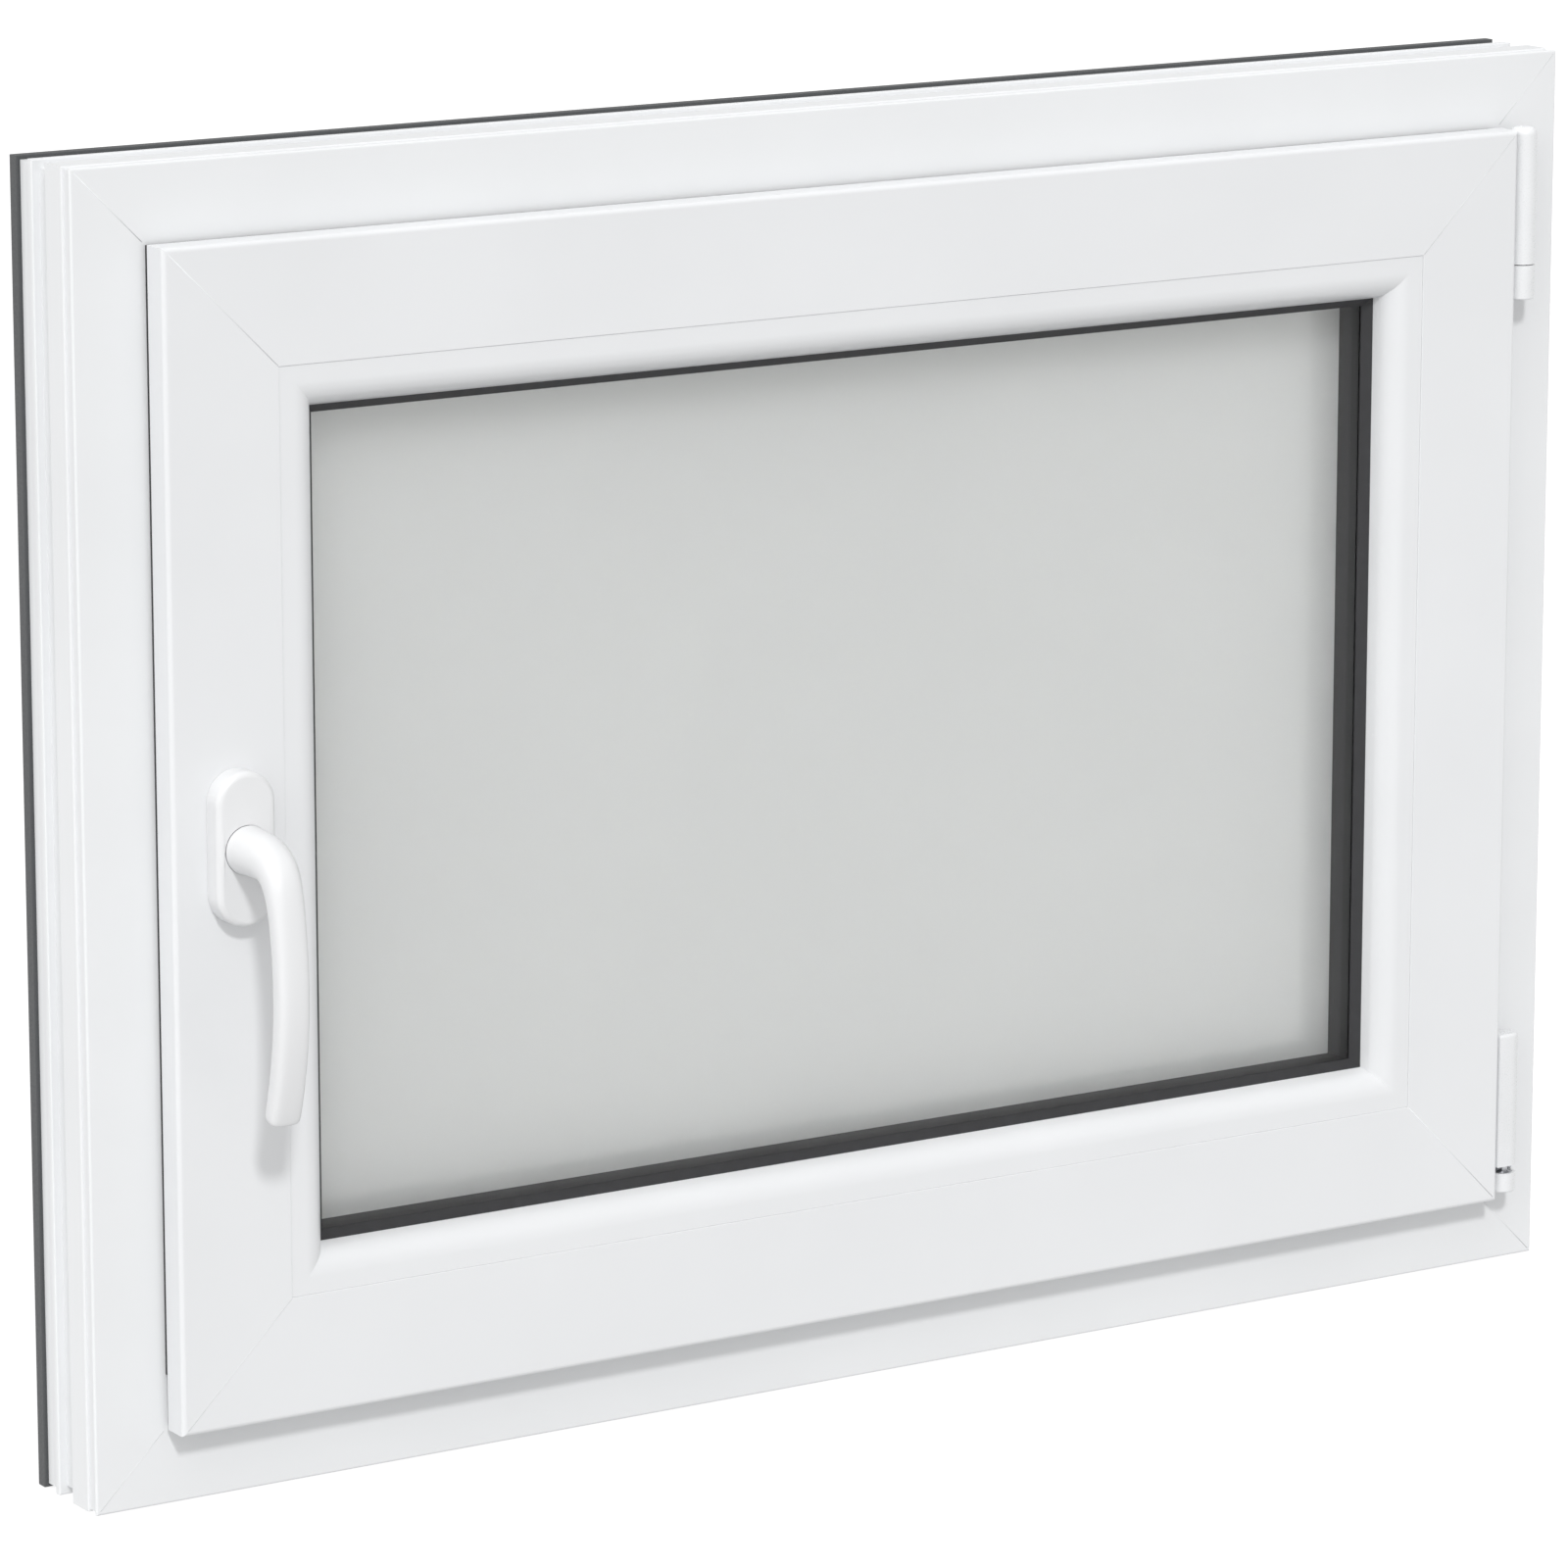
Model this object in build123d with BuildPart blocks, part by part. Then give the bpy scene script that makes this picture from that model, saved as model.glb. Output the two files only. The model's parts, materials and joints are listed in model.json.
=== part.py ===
from build123d import *
from math import pi
import os

# Inward-opening tilt-and-turn casement window, in millimetres.
# Frame of the part: +X to the right seen from the room, +Y to the outdoors, +Z up.
# The origin is on the flat underside of the frame's sill, at mid-width.
# Sections are drawn as (depth, inset): depth runs outdoors from the frame's room face, and
# inset runs inwards from the frame's outer edge, so all rings share the same mitre planes.

# ---- driving dimensions ----
WIDTH = 800.0
HEIGHT = 600.0
FRAME_DEPTH = 58.0
ROOM_FACE_Y = -16.0          # where depth 0 lies
WALL = 2.8                   # wall of the hollow white profiles
SKIN = 1.8                   # wall of the dark outdoor cladding
STEEL_WALL = 1.5

REBATE = 43.0                # inset of the frame's rebate floor
STOP_DEPTH = 46.0            # depth of the frame's outdoor stop
STOP_INSET = 64.0

LIP_INSET = 35.0             # outer edge of the sash, which overlaps the frame
LIP_BACK = -2.5
SASH_FACE = -17.0
SASH_EDGE = 55.0             # inset of the sash's outer side, behind the lip
SASH_BACK = 43.0
GROOVE_FLOOR = 60.0          # floor of the hardware groove round the sash
GLAZING_FLOOR = 90.7         # inset of the glazing rebate, and of the bead's outer line
GLASS_EDGE = 96.0
SIGHT_LINE = 113.4           # inset where the glass starts to show
PANE = 4.0
UNIT_DEPTH = 24.0            # double glazing: two panes and a gap of 16

AXIS_X = 372.5               # vertical hinge axis
AXIS_DEPTH = -11.0
KNUCKLE_R = 6.5
BARREL_R = 5.0
PIN_R = 3.0
RUN = 0.05                   # running clearance on a pin, radial
TILT_Z = 51.0                # height of the horizontal tilt axis
TRUNNION_R = 1.2

ARM_REACH = 249.5            # from the hinge axis to the stay arm's slider
ARM_Z = 549.2
ARM_THICK = 2.5
ARM_DEPTHS = (2.0, 18.0)

HANDLE_X = -WIDTH / 2 + 66.0
HANDLE_Z = 300.0
SPINDLE = 7.0
SCREW_SPACING = 43.0
ROSETTE_HEIGHT = 11.0

MODULE = 1.0                 # rack and pinion of the espagnolette gear
TEETH = 16
PITCH_R = MODULE * TEETH / 2
ROD_TRAVEL = PITCH_R * pi    # half a turn of the handle
GEAR_DEPTHS = (13.0, 23.0)
ROD_DEPTHS = (12.0, 24.0)
ROD_INSETS = (55.3, 56.8)
PLATE_INSETS = (53.0, 55.0)  # faceplates on the sash's outer side
PLATE_DEPTHS = (9.0, 27.0)
CAM_HEIGHTS = (200.0, 400.0)
CAM_DEPTH = 18.0

os.makedirs("parts", exist_ok=True)


# ---- shared places and shapes ----
def upright(depth, x=0.0, z=HEIGHT / 2):
    """Plane parallel to the window, with its normal towards the room and local y up."""
    return Plane(origin=(x, ROOM_FACE_Y + depth, z), x_dir=(1, 0, 0), z_dir=(0, -1, 0))


def side_plane(x, z, along):
    """Section plane of one side: local x is depth, local y is inset, normal runs along the side."""
    return Plane(origin=(x, ROOM_FACE_Y, z), x_dir=(0, 1, 0), z_dir=along)


SIDES = {
    "bottom": (side_plane(0, 0, (1, 0, 0)), WIDTH),
    "top": (side_plane(0, HEIGHT, (-1, 0, 0)), WIDTH),
    "left": (side_plane(-WIDTH / 2, HEIGHT / 2, (0, 0, -1)), HEIGHT),
    "right": (side_plane(WIDTH / 2, HEIGHT / 2, (0, 0, 1)), HEIGHT),
}


def box_points(depths, insets):
    """Corners of a rectangle in a section."""
    return [(depths[0], insets[0]), (depths[1], insets[0]), (depths[1], insets[1]), (depths[0], insets[1])]


def mitred(side, outline, rounds=(), chambers=(), end_gap=0.0):
    """One side of a ring, cut at 45 degrees where it meets its neighbours."""
    plane, length = SIDES[side]
    with BuildPart() as piece:
        with BuildSketch(plane) as section:
            Polygon(*outline, align=None)
            for corner, radius in rounds:
                fillet(section.vertices().sort_by_distance(corner)[0], radius)
            for chamber in chambers:
                Polygon(*chamber, align=None, mode=Mode.SUBTRACT)
        extrude(amount=length / 2, both=True)
        for way in (1, -1):
            end = plane.origin + plane.z_dir * (way * (length / 2 - end_gap))
            split(bisect_by=Plane(origin=end, z_dir=plane.y_dir + plane.z_dir * way), keep=Keep.BOTTOM)
    return piece.part


def ring(outline, rounds=()):
    """A closed ring: four mitred lengths welded at the corners."""
    lengths = [mitred(side, outline, rounds) for side in SIDES]
    with BuildPart() as whole:
        add(lengths)
    return whole.part


def block(xs, depths, zs, mode=Mode.ADD):
    """Box between two x values, two depths and two heights."""
    with Locations((xs[0], ROOM_FACE_Y + depths[0], zs[0])):
        Box(xs[1] - xs[0], depths[1] - depths[0], zs[1] - zs[0],
            align=(Align.MIN, Align.MIN, Align.MIN), mode=mode)


def bar(start, direction, radius, length, mode=Mode.ADD):
    """Round bar from a point given as (x, depth, z)."""
    origin = (start[0], ROOM_FACE_Y + start[1], start[2])
    with Locations(Plane(origin=origin, z_dir=direction)):
        Cylinder(radius, length, align=(Align.CENTER, Align.CENTER, Align.MIN), mode=mode)


def panel(depths, inset):
    """Flat sheet between two depths, inset from the frame's outer edge all round."""
    with BuildPart() as sheet:
        with BuildSketch(upright(depths[1])):
            Rectangle(WIDTH - 2 * inset, HEIGHT - 2 * inset)
        extrude(amount=depths[1] - depths[0])
    return sheet.part


def save(part, name):
    part.label = name
    export_step(part, f"parts/{name}.step")


OUTDOORS, ROOM = (0, 1, 0), (0, -1, 0)
UP, DOWN = (0, 0, 1), (0, 0, -1)
LEFT, RIGHT = (-1, 0, 0), (1, 0, 0)

# ---- the frame's profile ----
FRAME_BODY_BACK = FRAME_DEPTH - SKIN
FRAME_OUTLINE = [
    (0, 0), (1.5, 0), (1.5, 1.2), (8, 1.2),                    # front lip and shadow groove
    (8, 0), (24, 0), (24, 4), (36, 4), (36, 0), (40, 0),       # two ribs and the channel between
    (40, SKIN), (FRAME_BODY_BACK, SKIN),
    (FRAME_BODY_BACK, STOP_INSET - SKIN), (STOP_DEPTH, STOP_INSET - SKIN),
    (STOP_DEPTH, REBATE), (0, REBATE),
]
FRAME_ROUNDS = [
    ((0, 0), 1.2), ((0, REBATE), 1.0), ((8, 0), 0.8), ((24, 0), 1.2), ((36, 0), 0.8), ((40, 0), 0.8),
]
FRAME_STEEL = box_points((23, 43), (7, REBATE - WALL))
FRAME_CHAMBERS = [
    box_points((WALL, 20), (4.2, REBATE - WALL)),
    FRAME_STEEL,
    [(46, 5), (53.4, 5), (53.4, 60), (49, 60), (49, REBATE - WALL), (46, REBATE - WALL)],
]
DRAIN_XS = (-200.0, 200.0)
DRAIN_WIDTH, DRAIN_HEIGHT = 24.0, 5.0
DRAIN_INSET = 20.0
DRAIN_START = 53.0           # depth in the back chamber where the drain slots begin
BEARING_PEGS = [(AXIS_X, 43.2), (AXIS_X, 487.5), (AXIS_X, 495.5)]
PEG_R, PEG_LENGTH = 2.0, 18.0

# ---- the sash's profile ----
SASH_BODY_BACK = SASH_BACK - SKIN
SASH_GLASS_LIP = 109.0
GLASS_STOP = 27.0            # depth of the outdoor leg that the glass is pressed against
SASH_OUTLINE = [
    (SASH_FACE, LIP_INSET), (SASH_FACE, GLAZING_FLOOR),
    (GLASS_STOP, GLAZING_FLOOR), (GLASS_STOP, SASH_GLASS_LIP),
    (SASH_BODY_BACK, SASH_GLASS_LIP), (SASH_BODY_BACK, SASH_EDGE), (25, SASH_EDGE),
    (25, GROOVE_FLOOR), (11, GROOVE_FLOOR), (11, SASH_EDGE), (LIP_BACK, SASH_EDGE), (LIP_BACK, LIP_INSET),
]
SASH_ROUNDS = [
    ((SASH_FACE, LIP_INSET), 2.2), ((SASH_FACE, GLAZING_FLOOR), 0.3), ((LIP_BACK, LIP_INSET), 0.3),
]
SASH_STEEL = box_points((1, 24), (63, 87.7))
SASH_CHAMBERS = [
    box_points((-14.2, -5.3), (38, SASH_EDGE)),
    box_points((-14.2, -2), (58, 87.9)),
    SASH_STEEL,
    [(29.8, 63), (38.4, 63), (38.4, 106.2), (29.8, 106.2)],
]

# ---- frame lengths, cladding and reinforcement ----
FRAME_NAMES = {
    "bottom": "frame_sill", "top": "frame_head",
    "left": "frame_jamb_left", "right": "frame_jamb_right",
}


def cut_drains():
    """Two slots out of the sill's back chamber, behind the drainage caps."""
    for x in DRAIN_XS:
        block((x - DRAIN_WIDTH / 2, x + DRAIN_WIDTH / 2), (DRAIN_START, FRAME_DEPTH),
              (DRAIN_INSET, DRAIN_INSET + DRAIN_HEIGHT), Mode.SUBTRACT)


for side, name in FRAME_NAMES.items():
    with BuildPart() as frame_length:
        add(mitred(side, FRAME_OUTLINE, FRAME_ROUNDS, FRAME_CHAMBERS))
        if side == "bottom":
            cut_drains()
        if side == "right":
            for x, z in BEARING_PEGS:
                bar((x, 0, z), OUTDOORS, PEG_R, PEG_LENGTH, Mode.SUBTRACT)
    save(frame_length.part, name)

CLADDING_FRONT = 50.0        # depth where the dark lip on the frame's outer edge begins
CLADDING_OUTLINE = [
    (CLADDING_FRONT, 0), (FRAME_DEPTH, 0), (FRAME_DEPTH, STOP_INSET), (STOP_DEPTH, STOP_INSET),
    (STOP_DEPTH, STOP_INSET - SKIN), (FRAME_BODY_BACK, STOP_INSET - SKIN),
    (FRAME_BODY_BACK, SKIN), (CLADDING_FRONT, SKIN),
]
CLADDING_ROUNDS = [
    ((FRAME_DEPTH, 0), 2.0), ((FRAME_DEPTH, STOP_INSET), 1.6), ((CLADDING_FRONT, 0), 0.7),
]
for side, name in FRAME_NAMES.items():
    with BuildPart() as cladding:
        add(mitred(side, CLADDING_OUTLINE, CLADDING_ROUNDS))
        if side == "bottom":
            cut_drains()
    save(cladding.part, name.replace("frame_", "frame_cladding_"))


def steel_tubes(outline, end_gap):
    """Four box tubes, one for each side of a ring, stopping short of the welded corners."""
    (near, inner), (far, outer) = outline[0], outline[2]
    hollow = box_points((near + STEEL_WALL, far - STEEL_WALL), (inner + STEEL_WALL, outer - STEEL_WALL))
    return [mitred(side, outline, chambers=[hollow], end_gap=end_gap) for side in SIDES]


STEEL_END_GAP = 12.0
with BuildPart() as frame_reinforcement:
    add(steel_tubes(FRAME_STEEL, STEEL_END_GAP))
save(frame_reinforcement.part, "frame_reinforcement")

# The stop's gasket: a foot on the outdoor stop and a bulb that meets the sash.
save(ring([(46, 56), (46, 62), (44.6, 62.4), (43.5, 60.4), (44.4, 56)]), "frame_gasket")

CAP_LENGTH, CAP_HEIGHT, CAP_THICK = 40.0, 11.0, 2.5
with BuildPart() as drainage_caps:
    with BuildSketch(upright(FRAME_DEPTH, z=DRAIN_INSET + DRAIN_HEIGHT / 2)):
        with Locations(*[(x, 0) for x in DRAIN_XS]):
            SlotOverall(CAP_LENGTH, CAP_HEIGHT)
    extrude(amount=-CAP_THICK)
    chamfer(drainage_caps.faces().sort_by(Axis.Y)[-2:].edges(), 1.0)
save(drainage_caps.part, "drainage_caps")

# ---- cam keeps on the lock side's rebate floor ----
LOCK_EDGE = -WIDTH / 2
SCREW_CORE_R = 2.0           # small wood-type screws, in the keeps and the hinge bracket
KEEP_FOOT = 1.6
KEEP_WALL = 6.0
KEEP_DEPTHS = (9.0, 34.0)
KEEP_WALL_DEPTHS = (22.4, 25.0)
KEEP_MARGIN = 14.0           # keep beyond each end of its cam's travel
KEEP_WALL_SETBACK = 4.0
KEEP_SCREW_SETBACK = 6.0
KEEP_SCREW_DEPTH = 29.5
KEEP_HEAD_R = 3.4
KEEP_FLOOR_X = LOCK_EDGE + REBATE


def keep_span(z, setback=0.0):
    """Lowest and highest point of the keep whose locked cam is at height z."""
    return z - ROD_TRAVEL - KEEP_MARGIN + setback, z + KEEP_MARGIN - setback


with BuildPart() as cam_keeps:
    for z in CAM_HEIGHTS:
        block((KEEP_FLOOR_X, KEEP_FLOOR_X + KEEP_FOOT), KEEP_DEPTHS, keep_span(z))
        block((KEEP_FLOOR_X, KEEP_FLOOR_X + KEEP_WALL), KEEP_WALL_DEPTHS, keep_span(z, KEEP_WALL_SETBACK))
        for screw_z in keep_span(z, KEEP_SCREW_SETBACK):
            bar((KEEP_FLOOR_X, KEEP_SCREW_DEPTH, screw_z), RIGHT, SCREW_CORE_R, KEEP_FOOT, Mode.SUBTRACT)
save(cam_keeps.part, "cam_keeps")

with BuildPart() as keep_screws:
    for z in CAM_HEIGHTS:
        for screw_z in keep_span(z, KEEP_SCREW_SETBACK):
            bar((KEEP_FLOOR_X + KEEP_FOOT, KEEP_SCREW_DEPTH, screw_z), RIGHT, KEEP_HEAD_R, KEEP_FOOT)
            bar((KEEP_FLOOR_X, KEEP_SCREW_DEPTH, screw_z), RIGHT, SCREW_CORE_R, KEEP_FOOT)
    fillet(keep_screws.edges().filter_by(GeomType.CIRCLE).group_by(Axis.X)[-1], 0.9)
save(keep_screws.part, "keep_screws")


# ---- hinges ----
def at_axis(z):
    """Horizontal plane centred on the vertical hinge axis."""
    return Plane(origin=(AXIS_X, ROOM_FACE_Y + AXIS_DEPTH, z))


def axis_bar(radius, zs, mode=Mode.ADD):
    bar((AXIS_X, AXIS_DEPTH, zs[0]), UP, radius, zs[1] - zs[0], mode)


def around_axis(half_width, depths, zs, mode=Mode.ADD):
    block((AXIS_X - half_width, AXIS_X + half_width), depths, zs, mode)


LOWER_COVER = (38.4, 48.0)
UPPER_COVER = (483.0, 499.5)
SASH_COVER = (52.0, 119.0)
ARM_COVER = (500.0, 566.0)
BACK_PLATE = (-2.0, 0.0)
BACK_PLATE_HALF = 5.6
BEARING_WEB_HALF = 2.5
LOWER_CUP = (38.8, 47.8)
UPPER_LUG = (483.8, 499.2)
STUB_BOTTOM = 40.0


def steel_bearing(zs, mode=Mode.ADD):
    """Barrel on the hinge axis, with a web back to a plate on the frame's face."""
    axis_bar(BARREL_R, zs, mode)
    around_axis(BEARING_WEB_HALF, (AXIS_DEPTH, 0), zs, mode)
    around_axis(BACK_PLATE_HALF, BACK_PLATE, zs, mode)


with BuildPart() as lower_hinge_bearing:
    steel_bearing(LOWER_CUP)
    axis_bar(PIN_R + RUN, (STUB_BOTTOM - 0.4, LOWER_CUP[1]), Mode.SUBTRACT)
save(lower_hinge_bearing.part, "lower_hinge_bearing")

with BuildPart() as upper_hinge_bearing:
    steel_bearing(UPPER_LUG)
    axis_bar(PIN_R, UPPER_LUG, Mode.SUBTRACT)
save(upper_hinge_bearing.part, "upper_hinge_bearing")


def frame_hinge_cover(zs, steel_zs):
    """Plastic shell over a steel bearing: round in front of the axis, straight-sided back to the frame."""
    with BuildPart() as cover:
        with BuildSketch(at_axis(zs[0])):
            Circle(KNUCKLE_R)
            with Locations((0, -AXIS_DEPTH / 2)):
                Rectangle(2 * KNUCKLE_R, -AXIS_DEPTH)
        extrude(amount=zs[1] - zs[0])
        fillet(cover.faces().sort_by(Axis.Z)[0].edges(), 0.8)
        steel_bearing((steel_zs[0], zs[1]), Mode.SUBTRACT)
    return cover.part


save(frame_hinge_cover(LOWER_COVER, LOWER_CUP), "lower_hinge_cover")
save(frame_hinge_cover(UPPER_COVER, UPPER_LUG), "upper_hinge_cover")

UPPER_PIN = (484.0, 562.0)
with BuildPart() as upper_hinge_pin:
    axis_bar(PIN_R, UPPER_PIN)
    chamfer(upper_hinge_pin.edges().filter_by(GeomType.CIRCLE), 0.5)
save(upper_hinge_pin.part, "upper_hinge_pin")

with BuildPart() as bearing_pegs:
    for x, z in BEARING_PEGS:
        bar((x, 0, z), OUTDOORS, PEG_R, PEG_LENGTH)
save(bearing_pegs.part, "bearing_pegs")

# Swivel link: a stub turns in the lower bearing, and its eye carries the horizontal tilt pin.
EYE_R = 2.2
EYE_HALF = 1.6
LUG_OUT = 4.3
LUG_R = 2.3
with BuildPart() as swivel_link:
    axis_bar(PIN_R, (STUB_BOTTOM, LOWER_COVER[1] + 0.2))
    around_axis(EYE_HALF, (AXIS_DEPTH - EYE_R, AXIS_DEPTH + EYE_R), (LOWER_COVER[1], TILT_Z))
    bar((AXIS_X - EYE_HALF, AXIS_DEPTH, TILT_Z), RIGHT, EYE_R, 2 * EYE_HALF)
    bar((AXIS_X - EYE_HALF, AXIS_DEPTH, TILT_Z), RIGHT, TRUNNION_R, 2 * EYE_HALF, Mode.SUBTRACT)
save(swivel_link.part, "swivel_link")

with BuildPart() as tilt_pin:
    bar((AXIS_X - LUG_OUT, AXIS_DEPTH, TILT_Z), RIGHT, TRUNNION_R, 2 * LUG_OUT)
save(tilt_pin.part, "tilt_pin")

# Sash bracket: barrel over the link, a web to the sash's lip and a leaf behind it.
SASH_RIGHT = WIDTH / 2 - LIP_INSET
LEAF_X = WIDTH / 2 - SASH_EDGE
BRACKET_ZS = (54.0, 117.0)
FLANGE = (LIP_BACK, LIP_BACK + 1.2)
EDGE_PLATE_X = (SASH_RIGHT, SASH_RIGHT + 1.4)
EDGE_PLATE_FRONT = -15.5
WEB_DEPTHS = (-13.0, -9.0)
LEAF_THICK = 2.0
LEAF_BACK = 10.5
BRACKET_SCREW_ZS = (66.0, 86.0, 106.0)
BRACKET_SCREW_DEPTH = 5.5
BRACKET_SCREW_LENGTH = 22.0
BRACKET_HEAD_R, BRACKET_HEAD = 3.6, 1.4
with BuildPart() as sash_hinge_bracket:
    axis_bar(BARREL_R, BRACKET_ZS)
    block((EDGE_PLATE_X[0], AXIS_X), WEB_DEPTHS, BRACKET_ZS)
    block(EDGE_PLATE_X, (EDGE_PLATE_FRONT, FLANGE[1]), BRACKET_ZS)
    block((LEAF_X, EDGE_PLATE_X[1]), FLANGE, BRACKET_ZS)
    block((LEAF_X, LEAF_X + LEAF_THICK), (FLANGE[0], LEAF_BACK), BRACKET_ZS)
    for inner in (EYE_HALF + 0.3, -LUG_OUT):
        ear_xs = (AXIS_X + inner, AXIS_X + inner + LUG_OUT - EYE_HALF - 0.3)
        block(ear_xs, (AXIS_DEPTH - LUG_R, AXIS_DEPTH + LUG_R), (TILT_Z, BRACKET_ZS[0]))
        bar((ear_xs[0], AXIS_DEPTH, TILT_Z), RIGHT, LUG_R, ear_xs[1] - ear_xs[0])
    bar((AXIS_X - LUG_OUT, AXIS_DEPTH, TILT_Z), RIGHT, TRUNNION_R + RUN, 2 * LUG_OUT, Mode.SUBTRACT)
    for z in BRACKET_SCREW_ZS:
        bar((LEAF_X, BRACKET_SCREW_DEPTH, z), RIGHT, SCREW_CORE_R, LEAF_THICK, Mode.SUBTRACT)
save(sash_hinge_bracket.part, "sash_hinge_bracket")

with BuildPart() as sash_hinge_screws:
    for z in BRACKET_SCREW_ZS:
        bar((LEAF_X + LEAF_THICK, BRACKET_SCREW_DEPTH, z), RIGHT, BRACKET_HEAD_R, BRACKET_HEAD)
        bar((LEAF_X + LEAF_THICK, BRACKET_SCREW_DEPTH, z), LEFT, SCREW_CORE_R, BRACKET_SCREW_LENGTH)
save(sash_hinge_screws.part, "sash_hinge_screws")

with BuildPart() as sash_hinge_cover:
    with BuildSketch(at_axis(SASH_COVER[0])):
        Circle(KNUCKLE_R)
        with Locations((-(AXIS_X - SASH_RIGHT) / 2, 0)):
            Rectangle(AXIS_X - SASH_RIGHT, 2 * KNUCKLE_R)
    extrude(amount=SASH_COVER[1] - SASH_COVER[0])
    fillet(sash_hinge_cover.faces().sort_by(Axis.Z)[-1].edges(), 1.6)
    axis_bar(BARREL_R, (SASH_COVER[0], BRACKET_ZS[1]), Mode.SUBTRACT)
    block((EDGE_PLATE_X[0], AXIS_X), WEB_DEPTHS, BRACKET_ZS, Mode.SUBTRACT)
    block(EDGE_PLATE_X, (EDGE_PLATE_FRONT, 0), BRACKET_ZS, Mode.SUBTRACT)
save(sash_hinge_cover.part, "sash_hinge_cover")

# Stay arm: knuckle on the upper pin, a crank through the gap behind the sash's lip, and a flat strip.
CRANK_DEPTHS = (-2.0, -0.6)
CRANK_ZS = (548.0, 553.0)
CRANK_XS = (347.0, 356.0)    # where the crank passes back between the lip and the frame's rebate
CRANK_ROOT_XS = (AXIS_X - 6.0, AXIS_X + 1.0)
CRANK_ROOT_FRONT = -7.0
STRIP_END_X = AXIS_X - ARM_REACH - 8
STRIP_ZS = (ARM_Z, ARM_Z + ARM_THICK)
ARM_BARREL = (500.6, 563.5)
with BuildPart() as stay_arm:
    axis_bar(BARREL_R, ARM_BARREL)
    block(CRANK_ROOT_XS, (CRANK_ROOT_FRONT, CRANK_DEPTHS[1]), CRANK_ZS)
    block((CRANK_XS[0], CRANK_ROOT_XS[1]), CRANK_DEPTHS, CRANK_ZS)
    block(CRANK_XS, (CRANK_DEPTHS[0], ARM_DEPTHS[1]), STRIP_ZS)
    block((STRIP_END_X, CRANK_XS[0]), ARM_DEPTHS, STRIP_ZS)
    fillet(stay_arm.edges().filter_by(Axis.Z).group_by(Axis.X)[0], 6)
    axis_bar(PIN_R + RUN, (ARM_BARREL[0], UPPER_PIN[1] + 0.4), Mode.SUBTRACT)
save(stay_arm.part, "stay_arm")

SLIDER_DEPTH = sum(ARM_DEPTHS) / 2
with BuildPart() as stay_slider:
    bar((AXIS_X - ARM_REACH, SLIDER_DEPTH, ARM_Z), DOWN, 4.0, 2.2)
    bar((AXIS_X - ARM_REACH, SLIDER_DEPTH, ARM_Z + ARM_THICK), UP, 4.5, 1.0)
save(stay_slider.part, "stay_slider")

with BuildPart() as stay_arm_cover:
    with BuildSketch(at_axis(ARM_COVER[0])):
        Circle(KNUCKLE_R)
    extrude(amount=ARM_COVER[1] - ARM_COVER[0])
    fillet(stay_arm_cover.faces().sort_by(Axis.Z)[-1].edges(), 3.6)
    axis_bar(BARREL_R, (ARM_COVER[0], ARM_BARREL[1]), Mode.SUBTRACT)
    block(CRANK_ROOT_XS, (CRANK_ROOT_FRONT, 0), CRANK_ZS, Mode.SUBTRACT)
save(stay_arm_cover.part, "stay_arm_cover")

# ---- sash lengths, cladding and reinforcement ----
SASH_NAMES = {
    "bottom": "sash_bottom_rail", "top": "sash_top_rail",
    "left": "sash_lock_stile", "right": "sash_hinge_stile",
}
CASE_XS = (LOCK_EDGE + GROOVE_FLOOR, LOCK_EDGE + 78.0)
CASE_DEPTHS = (9.2, 26.8)
CASE_ZS = (HANDLE_Z - 29, HANDLE_Z + 29)
BASE_SCREW_ZS = (HANDLE_Z - SCREW_SPACING / 2, HANDLE_Z + SCREW_SPACING / 2)
SCREW_R = 2.5
JOURNAL_R = 5.6
HANDLE_BORE = 27.0           # from the sash's room face into the gearbox case
CASE_CLEARANCE = 2.0         # between the case and the cut steel above and below it
for side, name in SASH_NAMES.items():
    with BuildPart() as sash_length:
        add(mitred(side, SASH_OUTLINE, SASH_ROUNDS, SASH_CHAMBERS))
        if side == "left":
            block((LOCK_EDGE + SASH_EDGE, CASE_XS[1]), CASE_DEPTHS, CASE_ZS, Mode.SUBTRACT)
            bar((HANDLE_X, SASH_FACE, HANDLE_Z), OUTDOORS, JOURNAL_R, HANDLE_BORE, Mode.SUBTRACT)
            for z in BASE_SCREW_ZS:
                bar((HANDLE_X, SASH_FACE, z), OUTDOORS, SCREW_R, HANDLE_BORE, Mode.SUBTRACT)
        if side == "right":
            for z in BRACKET_SCREW_ZS:
                bar((LEAF_X, BRACKET_SCREW_DEPTH, z), LEFT, SCREW_CORE_R, BRACKET_SCREW_LENGTH, Mode.SUBTRACT)
    save(sash_length.part, name)

SASH_CLADDING = [
    (SASH_BODY_BACK, SASH_EDGE), (SASH_BACK, SASH_EDGE), (SASH_BACK, SASH_GLASS_LIP + SKIN),
    (GLASS_STOP, SASH_GLASS_LIP + SKIN), (GLASS_STOP, SASH_GLASS_LIP), (SASH_BODY_BACK, SASH_GLASS_LIP),
]
for side, name in SASH_NAMES.items():
    cladding_length = mitred(side, SASH_CLADDING, [((SASH_BACK, SASH_GLASS_LIP + SKIN), 1.6)])
    save(cladding_length, name.replace("sash_", "sash_cladding_"))

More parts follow.
